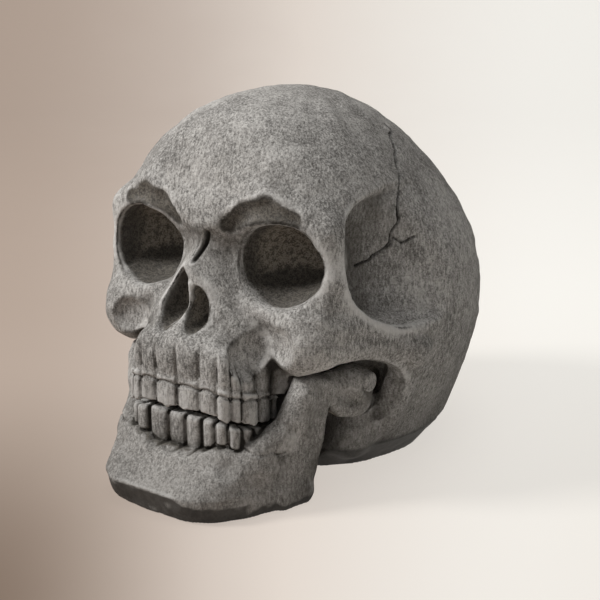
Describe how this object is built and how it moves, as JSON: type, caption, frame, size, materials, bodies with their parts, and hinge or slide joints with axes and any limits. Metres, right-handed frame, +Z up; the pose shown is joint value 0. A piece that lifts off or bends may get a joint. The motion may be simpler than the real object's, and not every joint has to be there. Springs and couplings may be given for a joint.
{
  "type": "halloween skull decoration",
  "caption": "Life-size faux-stone skull ornament with deep eye sockets, rows of teeth and a separate jaw that swings on side pivots; stands on a flat padded base.",
  "frame": {"origin": "on the table, under the middle of the skull's bounding box", "axes": "+Z up, the face looks along -Y, +X is the viewer's right when facing the skull"},
  "size_m": [0.174, 0.22, 0.1794],
  "materials": {
    "stone": "rough cast, dark wash in recesses",
    "steel": "zinc plated",
    "brass": "turned",
    "bush": "natural nylon",
    "plate": "fine grain",
    "pad": "matte"
  },
  "bodies": {
    "cranium": {"cranium_shell": "stone", "base_plate": "plate", "base_screw_1": "steel", "base_screw_2": "steel", "base_screw_3": "steel", "base_screw_4": "steel", "foot_pad_1": "pad", "foot_pad_2": "pad", "foot_pad_3": "pad", "foot_pad_4": "pad", "pivot_insert_left": "brass", "pivot_insert_right": "brass", "pivot_bolt_left": "steel", "pivot_bolt_right": "steel", "pivot_washer_left": "steel", "pivot_washer_right": "steel"},
    "jaw": {"mandible": "stone", "jaw_pad_left": "pad", "jaw_pad_right": "pad", "jaw_pad_chin": "pad", "pivot_bush_left": "bush", "pivot_bush_right": "bush", "pivot_cap_left": "stone", "pivot_cap_right": "stone"}
  },
  "joints": [
    {"name": "jaw_hinge", "type": "hinge", "parent": "cranium", "child": "jaw", "pos_m": [0, -0.02897, 0.052], "axis": [1, 0, 0], "range_deg": [-2, 14]}
  ]
}
